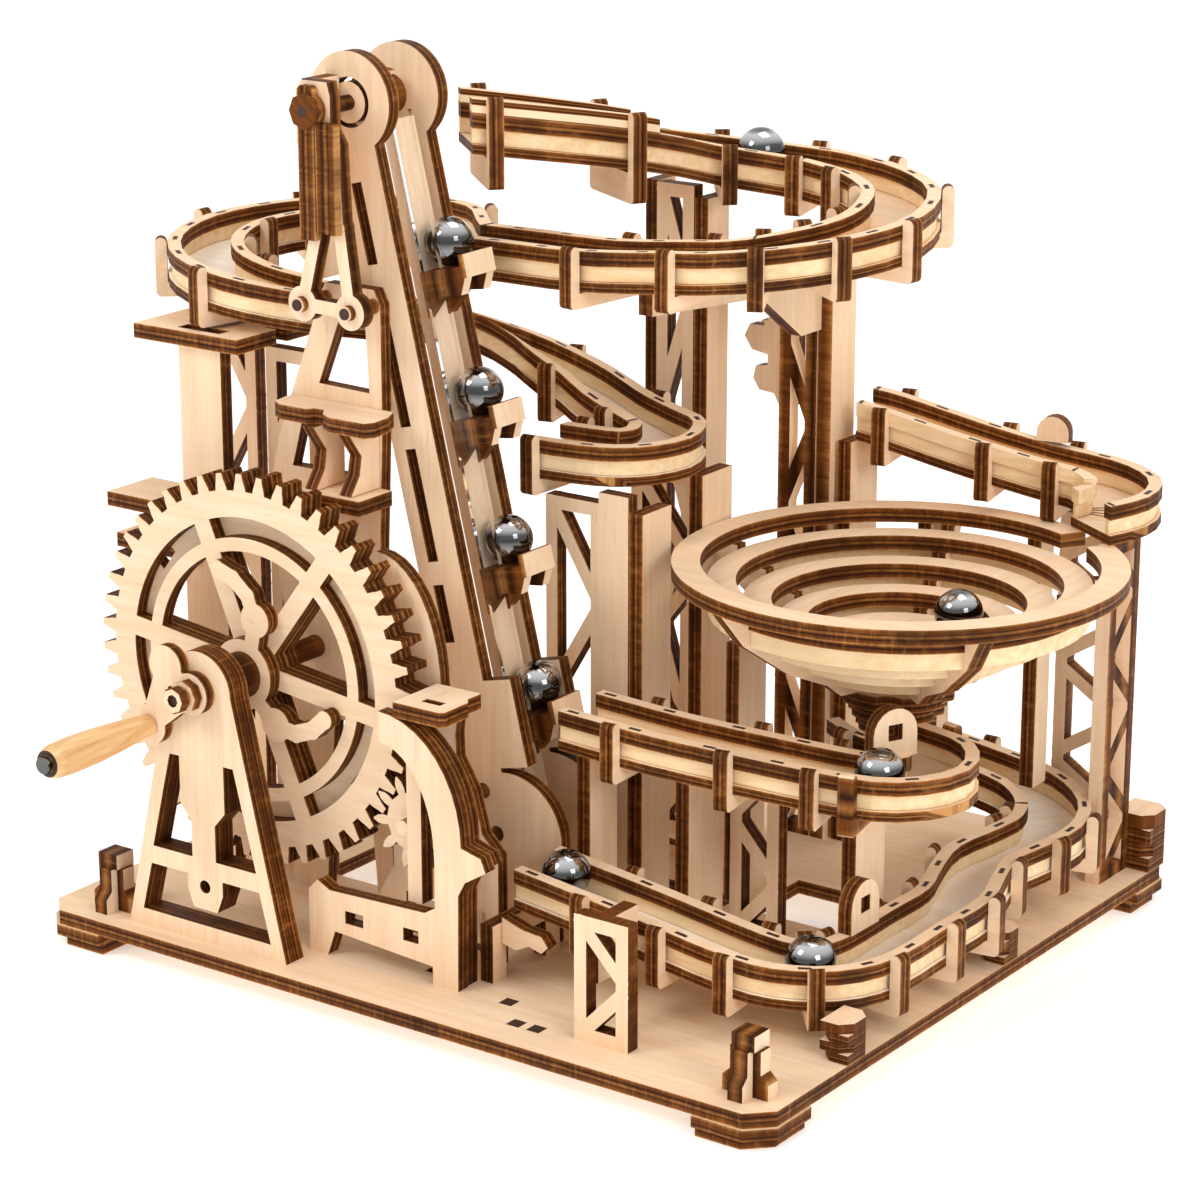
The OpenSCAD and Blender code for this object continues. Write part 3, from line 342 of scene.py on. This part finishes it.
def dress(name, obj):
    """Gives each solid of a plywood node its grain on the flat sides and burnt layers on the rest."""
    me = obj.data
    co = read(me.vertices, "co", 3)
    nor = read(me.polygons, "normal", 3)
    area = read(me.polygons, "area")
    loops = read(me.loops, "vertex_index", kind=np.int64)
    start = read(me.polygons, "loop_start", kind=np.int64)
    total = read(me.polygons, "loop_total", kind=np.int64)
    tris = np.stack([loops[start], loops[start + 1], loops[start + 2]], 1)
    idx = places(co)
    group = parts_of(idx, tris)
    uv = np.zeros((len(me.loops), 2))
    slot = np.zeros(len(me.polygons), np.int64)
    ribbon = name in RIBBONS
    for g in np.unique(group):
        f = np.where(group == g)[0]
        points = co[tris[f]].reshape(-1, 3)
        size = np.ptp(points, axis=0)
        block = name == "edge_stacks" and size[:2].min() > STACK_WIDTH
        d = np.array([0.0, 0.0, 1.0]) if ribbon or block else sheet_direction(nor[f], area[f])
        flat = np.abs(nor[f] @ d) > FLAT
        facing = int(np.argmax(np.abs(d)))
        slot[f[flat]] = max((k for k in range(3) if k != facing), key=lambda k: size[k])
        # The bands under the funnel's rings and the strips under rails show pale faces outward
        pale = name == "funnel_ribs" and facing == 2
        if name in WITH_STRIPS:
            pale = area[f[flat]].sum() < STRIP_SHARE * area[f[~flat]].sum()
        slot[f[~flat]] = SLOT_STRIP if pale else SLOT_EDGE
        h = co @ d
        upper = np.isin(idx, idx[tris[f[nor[f] @ d > FLAT]]])
        lo, hi = h[tris[f]].min(), h[tris[f]].max()
        # A direction along the sheet that isn't in line with any of its usual cuts
        side = np.cross(d, [0.3, 0.5, 0.81])
        side /= np.linalg.norm(side)
        for p, is_flat in zip(f, flat):
            ls = np.arange(start[p], start[p] + total[p])
            vs = loops[ls]
            uv[ls, 0] = co[vs] @ side * UV_SCALE
            uv[ls, 1] = upper[vs] if ribbon and not is_flat else (h[vs] - lo) / max(hi - lo, 1e-6)
    layer = me.uv_layers.new(name="plate") if not me.uv_layers else me.uv_layers[0]
    layer.data.foreach_set("uv", uv.astype(np.float32).reshape(-1))
    if name.endswith("_strips"):
        set_materials(obj, [STRIP] * 5)
    else:
        faces = [SHEEN_PAINTED_FLOOR] * 3 if name in WHITE_TRACKS else FACES
        edge = CHUTE_SIDE if name == "start_chute" else EDGES[GLUED.get(name, 1)]
        set_materials(obj, faces + [edge, STRIP])
    me.polygons.foreach_set("material_index", slot.astype(np.int32))
    me.update()


steel, clear, grip = steel_material(), clear_material(), grip_material()
for name, obj in NODES.items():
    if name in STEEL or name == "crank_grip":
        set_materials(obj, [steel if name in STEEL else grip])
        for p in obj.data.polygons:
            p.use_smooth = True
    elif name == "lift_guard":
        set_materials(obj, [clear])
    else:
        dress(name, obj)


# --------------------------------------------------- small pieces over the solids
def points_of(name):
    """A node's points, in the frame."""
    obj = NODES[name]
    return np.array([obj.matrix_world @ v.co for v in obj.data.vertices])


def box_of(name):
    """The lowest and highest corner of a node, in the frame."""
    co = points_of(name)
    return co.min(axis=0), co.max(axis=0)


def centre_of(name):
    lo, hi = box_of(name)
    return (lo + hi) / 2


def put(name, mesh, body):
    obj = bpy.data.objects.new(name, mesh)
    bpy.context.scene.collection.objects.link(obj)
    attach(obj, body)
    return obj


def piece(name, verts, faces, body, mats, index=None):
    me = bpy.data.meshes.new(name)
    me.from_pydata([tuple(float(c) for c in v) for v in verts], [], faces)
    for m in mats:
        me.materials.append(m)
    if index is not None:
        me.polygons.foreach_set("material_index", np.array(index, np.int32))
    layer = me.uv_layers.new(name="plate")
    for poly in me.polygons:
        for li in poly.loop_indices:
            co = me.vertices[me.loops[li].vertex_index].co
            layer.data[li].uv = ((co.x + co.z) * UV_SCALE, 0.5 + (co.y * 20) % 0.4)
    me.update()
    put(name, me, body)


def lathe(profile, centre, n):
    """Turns (radius, y) pairs about the line through centre along Y, and says each face's row."""
    turns = [math.tau * k / n for k in range(n)]
    verts = [(centre[0] + r * math.cos(a), y, centre[2] + r * math.sin(a))
             for r, y in profile for a in turns]
    rows = [i for i in range(len(profile) - 1) for k in range(n)]
    faces = [(i * n + k, i * n + (k + 1) % n, (i + 1) * n + (k + 1) % n, (i + 1) * n + k)
             for i in range(len(profile) - 1) for k in range(n)]
    return verts, faces, rows


# Where a lathe's profile closes on its axis
AXIS = 1e-5


def grip_ring():
    """The dark ring round the steel head at the grip's outer end."""
    y = box_of("crank_grip")[0][1]
    inner, outer, back, front, round_off = 2.25 * MM, 3.5 * MM, 0.4 * MM, 0.12 * MM, 0.2 * MM
    verts, faces, _ = lathe([(inner, y + back), (inner, y - front), (outer - round_off, y - front),
                             (outer, y), (outer, y + back)], centre_of("crank_grip"), 40)
    piece("grip_ring", verts, faces, "grip", [SOOT_AND_SHADE])


def axle_nut():
    """An eight-sided wooden nut with a dark core on the crank axle's front end."""
    y = box_of("crank_axle")[0][1]
    tip = y - 2.4 * MM
    r, core, chamfer, dip = 3.6 * MM, 1.7 * MM, 0.4 * MM, 0.8 * MM
    verts, faces, rows = lathe([(r, y + 0.05 * MM), (r, tip + chamfer), (r - chamfer, tip), (core, tip),
                                (core, tip + dip), (AXIS, tip + dip)], centre_of("crank_axle"), 8)
    piece("axle_nut", verts, faces, "crank", [EDGES[1], FACES[2], SOOT_AND_SHADE],
          [0 if i < 2 else 1 if i == 2 else 2 for i in rows])


def dark_marks(name, marks):
    """Low dark boxes let into a top face. Each is given by its middle, its two half sides, and how
    far it reaches below and above the middle."""
    verts, faces = [], []
    for mid, a_half, b_half, below, above in marks:
        base = len(verts)
        for z in (-below, above):
            for a, b in ((-1, -1), (1, -1), (1, 1), (-1, 1)):
                verts.append(mid + a * a_half + b * b_half + np.array([0, 0, z]))
        faces += [tuple(base + i for i in f) for f in
                  ((3, 2, 1, 0), (4, 5, 6, 7), (0, 1, 5, 4), (1, 2, 6, 5), (2, 3, 7, 6), (3, 0, 4, 7))]
    piece(name, verts, faces, "frame", [SOOT_AND_SHADE])


def rail_tops(name, apart):
    """Places on top of a node's rails: the middle and the direction of each well-spaced stretch."""
    co = points_of(name)
    found = []
    for poly in NODES[name].data.polygons:
        if poly.normal.z < 0.9 or len(poly.vertices) != 3:
            continue
        v = [co[i] for i in poly.vertices]
        longest, second = sorted(((v[k], v[(k + 1) % 3]) for k in range(3)),
                                 key=lambda e: -np.linalg.norm(e[1] - e[0]))[:2]
        mid = (longest[0] + longest[1]) / 2
        run = second[1] - second[0]
        if np.linalg.norm(run) >= 1.5 * MM and all(np.linalg.norm(mid - m) > apart for m, _ in found):
            found.append((mid, run / np.linalg.norm(run)))
    return found


def tab_marks():
    """The ends of the pegs that show as short dark dashes along the tops of the rails."""
    long, wide, deep, proud, apart = 1.7 * MM, 0.62 * MM, 0.12 * MM, 0.04 * MM, 13 * MM
    marks = []
    for name in NODES:
        if name.endswith("_rails"):
            for mid, run in rail_tops(name, apart):
                across = np.cross([0, 0, 1], run)
                marks.append((mid, run * long, across / np.linalg.norm(across) * wide, deep, proud))
    dark_marks("tab_marks", marks)


def base_slots():
    """Three spare square slots in the base board's front part, drawn as flat dark squares: their burnt
    walls and the painted shade of their depth.
    """
    top = box_of("base_plate")[1][2]
    half, deep, proud = 1.9 * MM, 0.3 * MM, 0.04 * MM
    dark_marks("base_slots", [(np.array([x * MM, y * MM, top]), np.array([half, 0, 0]),
                               np.array([0, half, 0]), deep, proud)
                              for x, y in ((25.3, -64.5), (34.7, -73.9), (40.8, -73.8))])


# How thick one sheet of plywood is
SHEET = 4 * MM


def plate(name, outline, origin, across, up, hole=None, thick=SHEET, mats=None):
    """A flat ply plate cut to an outline, with its thickness square to across and up."""
    curve = bpy.data.curves.new(name + "_line", "CURVE")
    curve.dimensions = "2D"
    curve.fill_mode = "BOTH"
    curve.extrude = thick / 2
    for ring in [outline] + ([hole] if hole else []):
        sp = curve.splines.new("POLY")
        sp.points.add(len(ring) - 1)
        for pt, (a, b) in zip(sp.points, ring):
            pt.co = (a, b, 0, 1)
        sp.use_cyclic_u = True
    tmp = bpy.data.objects.new(name + "_line", curve)
    bpy.context.scene.collection.objects.link(tmp)
    me = bpy.data.meshes.new_from_object(tmp.evaluated_get(bpy.context.evaluated_depsgraph_get()))
    bpy.data.objects.remove(tmp)
    bpy.data.curves.remove(curve)
    me.name = name
    me.materials.clear()
    for m in mats or (FACES[2], EDGES[1]):
        me.materials.append(m)
    layer = me.uv_layers[0] if me.uv_layers else me.uv_layers.new(name="plate")
    for poly in me.polygons:
        poly.material_index = 0 if abs(poly.normal.z) > FLAT else 1
        poly.use_smooth = False
        for li in poly.loop_indices:
            c = me.vertices[me.loops[li].vertex_index].co
            layer.data[li].uv = ((c.x + c.y) * UV_SCALE, c.z / thick + 0.5)
    across, up = np.array(across, float), np.array(up, float)
    out = np.cross(across, up)
    for v in me.vertices:
        c = np.array(v.co)
        v.co = tuple(np.array(origin) + across * c[0] + up * c[1] + out * c[2])
    me.update()
    return put(name, me, "frame")


X, Y, Z = (1, 0, 0), (0, 1, 0), (0, 0, 1)


def stations(name):
    """The middle and the sideways direction of a track's floor at each of its cross lines."""
    co = np.unique(np.round(points_of(name), 6), axis=0)
    gap_low, gap_high, level = 18 * MM, 24 * MM, 0.02 * MM
    found = []
    for a in co:
        d = co - a
        far = np.linalg.norm(d, axis=1)
        pairs = np.where((np.abs(d[:, 2]) < level) & (far > gap_low) & (far < gap_high))[0]
        if len(pairs):
            j = pairs[np.argmin(far[pairs])]
            found.append(((a + co[j]) / 2, d[j] / far[j]))
    return found


def half_round(w, h, n=10):
    """An outline w wide and h high: straight sides under a half round top."""
    r = w / 2
    arc = [(r * math.cos(math.pi * k / n), h - r + r * math.sin(math.pi * k / n)) for k in range(1, n)]
    return [(r, 0), (r, h - r)] + arc + [(-r, h - r), (-r, 0)]


def stop(name, track, near, w, h, hole=0):
    """A small plate that stands on the nearer rail of a track, along it, with a square hole."""
    mid, side = min(stations(track + "_floor"), key=lambda s: np.linalg.norm(s[0] - near))
    if (near - mid) @ side < 0:
        side = -side
    run = np.cross(Z, side)
    co = points_of(track + "_rails") - mid
    # The rail's points on that side of the track, within a short stretch of it
    close = co[(np.abs(co @ run) < 7 * MM) & (co @ side > 4 * MM) & (co @ side < 18 * MM)
               & (np.abs(co[:, 2]) < 16 * MM)]
    top = close[:, 2].max()
    away = np.median((close @ side)[close[:, 2] > top - 0.6 * MM])
    mid_h = h * 0.52
    cut = [(-hole, mid_h - hole), (-hole, mid_h + hole), (hole, mid_h + hole), (hole, mid_h - hole)]
    sunk = 0.3 * MM
    foot = mid + side * away + np.array([0, 0, top - sunk])
    plate(name, half_round(w, h), foot, run, Z, cut if hole else None)


def stops():
    """Plates with a square hole by two of the marbles, and a round tab on the slide."""
    size, hole = 13 * MM, 2.1 * MM
    by_corner = centre_of("marble_corner") + np.array([-4, 24, 0]) * MM
    by_middle = centre_of("marble_middle") + np.array([-9, 9, 0]) * MM
    stop("stop_corner", "lower", by_corner, size, size, hole)
    stop("stop_middle", "middle", by_middle, size, size, hole)
    stop("stop_slide", "slide", centre_of("slide_floor") + np.array([6, 12, 0]) * MM, 9 * MM, 7 * MM)


def brace_edges():
    """The dark stacked plates, seen on their edges, that hold the lift's upper shaft."""
    lo, hi = box_of("lift_brace")
    deep, back, cut = 2.2 * MM, 1.9 * MM, 0.9 * MM
    # Each bar's place from the brace's left side, its width, its height, and how far its foot is
    # below the brace's top
    bars = ((6.4, 5.0, 39, 40), (12.0, 6.2, 28, 38))
    for k, (x, w, h, drop) in enumerate(bars):
        x, w, h = lo[0] + x * MM, w * MM, h * MM
        outline = [(0, 0), (w, 0), (w, h - cut), (w - cut, h), (cut, h), (0, h - cut)]
        foot = (x, lo[1] + back - deep / 2, hi[2] - drop * MM)
        bar = plate("brace_edge_%d" % k, outline, foot, X, Z, thick=deep, mats=(EDGES[1], EDGES[1]))
        # The burnt layers run up the face that looks to the front
        for loop, at in zip(bar.data.loops, bar.data.uv_layers[0].data):
            co = bar.data.vertices[loop.vertex_index].co
            at.uv = (co.z * UV_SCALE, (co.x - x) / w)


def brace_heads():
    """Dark heads on the brace's pins."""
    co = points_of("lift_brace")
    front = co[:, 1].min()
    pins = []
    for c in co[co[:, 1] < front + 0.05 * MM]:
        for g in pins:
            if np.linalg.norm(g[0] - c) < 9 * MM:
                g.append(c)
                break
        else:
            pins.append([c])
    r, tip, chamfer = 1.5 * MM, front - 0.7 * MM, 0.3 * MM
    for k, g in enumerate(pins):
        mid = (np.min(g, axis=0) + np.max(g, axis=0)) / 2
        profile = [(r, front + chamfer), (r, tip + chamfer), (r - chamfer, tip), (AXIS, tip)]
        verts, faces, _ = lathe(profile, mid, 12)
        piece("brace_head_%d" % k, verts, faces, "frame", [SOOT_AND_SHADE])


def shaft_nut():
    """The dark eight-sided nut on the upper shaft's front end."""
    y = box_of("lift_brace")[0][1] - 0.4 * MM
    tip = min(box_of("upper_sprocket")[0][1] - 0.3 * MM, y - 1.8 * MM)
    r, core, chamfer = 4.6 * MM, 1.6 * MM, 0.4 * MM
    verts, faces, rows = lathe([(AXIS, y), (r, y), (r, tip + chamfer), (r - chamfer, tip), (core, tip),
                                (AXIS, tip)], centre_of("upper_sprocket"), 8)
    piece("shaft_nut", verts, faces, "upper_sprocket", [EDGES[1], SOOT_AND_SHADE],
          [1 if i == 4 else 0 for i in rows])


def circle(r, n):
    return [(r * math.cos(math.tau * i / n), r * math.sin(math.tau * i / n)) for i in range(n)]


def funnel_neck():
    """Notched rings in a stack under the funnel, the widest on top."""
    mid = centre_of("funnel_rings")
    z = box_of("funnel_ribs")[0][2] - SHEET / 2
    for k, r in enumerate((15 * MM, 12.5 * MM, 10.5 * MM)):
        # Two points of every eight stand back, which leaves a notch
        outline = [(a * 0.9, b * 0.9) if i % 8 < 2 else (a, b) for i, (a, b) in enumerate(circle(r, 40))]
        plate("neck_%d" % k, outline, (mid[0], mid[1], z), X, Y, circle(7.4 * MM, 24),
              mats=(EDGES[1], EDGES[1]) if k else None)
        z -= SHEET


def tower_hooks():
    """The hooked bracket on the right tower's left side."""
    co = points_of("right_tower")
    # The corner is read at the tower's foot, because its arm reaches further out
    lo = co[co[:, 2] < co[:, 2].min() + 30 * MM].min(axis=0)
    hook = [(1.5, 0), (1.5, 26), (-3.6, 25.8), (-6, 22.4), (-10.4, 22.4), (-12, 19), (-9.6, 15.4),
            (-4.4, 14.6), (-4.4, 11.6), (-8.2, 11), (-9, 7.4), (-7, 4.4), (-2.2, 4), (0, 0)]
    for k, y in enumerate((3, 9)):
        plate("tower_hook_%d" % k, [(a * MM, b * MM) for a, b in hook],
              lo + np.array([0, y, 122]) * MM, X, Z)


grip_ring()
axle_nut()
tab_marks()
base_slots()
stops()
brace_edges()
brace_heads()
shaft_nut()
funnel_neck()
tower_hooks()


# ------------------------------------------------------------- stage and light
def lay_floor():
    half = 6
    me = bpy.data.meshes.new("floor")
    corners = [(-half, -half, 0), (half, -half, 0), (half, half, 0), (-half, half, 0)]
    me.from_pydata(corners, [], [(0, 1, 2, 3)])
    floor = bpy.data.objects.new("floor", me)
    bpy.context.scene.collection.objects.link(floor)
    t = Tree("pale_floor")
    t.surface((0.91, 0.935, 0.96, 1), 0.6, 0.1)
    t.bsdf.inputs["Emission Color"].default_value = (1, 1, 1, 1)
    t.bsdf.inputs["Emission Strength"].default_value = 0.34
    me.materials.append(t.mat)


def area_light(name, loc, size, power, tint=(1, 1, 1)):
    data = bpy.data.lights.new(name, "AREA")
    data.energy = power
    data.size = size
    data.color = tint
    o = bpy.data.objects.new(name, data)
    o.location = loc
    aim = Vector((0, 0, 0.1))
    o.rotation_euler = (aim - Vector(loc)).to_track_quat("-Z", "Y").to_euler()
    bpy.context.scene.collection.objects.link(o)


def light_world():
    world = bpy.data.worlds.new("white")
    bpy.context.scene.world = world
    world.use_nodes = True
    nodes, link = world.node_tree.nodes, world.node_tree.links.new
    bg = nodes["Background"]
    path = nodes.new("ShaderNodeLightPath")
    part = nodes.new("ShaderNodeSeparateXYZ")
    link(nodes.new("ShaderNodeTexCoord").outputs["Generated"], part.inputs[0])
    # The wood takes a little more light from above than from round the horizon
    rise = nodes.new("ShaderNodeMapRange")
    rise.interpolation_type = "SMOOTHSTEP"
    link(part.outputs["Z"], rise.inputs["Value"])
    for k, v in (("From Min", 0.0), ("From Max", 0.7), ("To Min", 0.6), ("To Max", 0.8)):
        rise.inputs[k].default_value = v
    # The camera, the steel and the clear strip all see the plain white background
    seen = path.outputs["Is Camera Ray"]
    for ray in ("Is Glossy Ray", "Is Transmission Ray"):
        either = nodes.new("ShaderNodeMath")
        either.operation = "MAXIMUM"
        link(seen, either.inputs[0])
        link(path.outputs[ray], either.inputs[1])
        seen = either.outputs[0]
    level = nodes.new("ShaderNodeMix")
    level.data_type = "FLOAT"
    level.inputs[3].default_value = 1.0
    link(rise.outputs[0], level.inputs[2])
    link(seen, level.inputs[0])
    link(level.outputs[0], bg.inputs["Strength"])
    # The light that fills the shadows comes back from wood all round, so it is a little warm
    warm = nodes.new("ShaderNodeMix")
    warm.data_type = "RGBA"
    warm.inputs[6].default_value = (1.0, 0.955, 0.885, 1)
    warm.inputs[7].default_value = (1, 1, 1, 1)
    link(seen, warm.inputs[0])
    link(warm.outputs[2], bg.inputs["Color"])


def set_camera():
    """The photo's camera, found from the base board's corners."""
    cam = bpy.data.cameras.new("camera")
    cam.sensor_width = 36
    cam.lens = 108
    cam.clip_start = 0.05
    cam.clip_end = 20
    cam_obj = bpy.data.objects.new("camera", cam)
    cam_obj.location = (0.52794, -0.7289, 0.3713)
    cam_obj.rotation_euler = (math.radians(90 - 17.08), 0, math.radians(35.54))
    bpy.context.scene.collection.objects.link(cam_obj)
    bpy.context.scene.camera = cam_obj


lay_floor()
area_light("key", (-0.55, -0.95, 1.05), 0.45, 5.3, (1.0, 0.995, 0.985))
area_light("fill", (1.25, -0.45, 0.7), 0.5, 5.5)
area_light("top", (0.1, 0.3, 1.4), 0.7, 3.8)
light_world()
set_camera()
bpy.context.scene.view_settings.view_transform = "Standard"
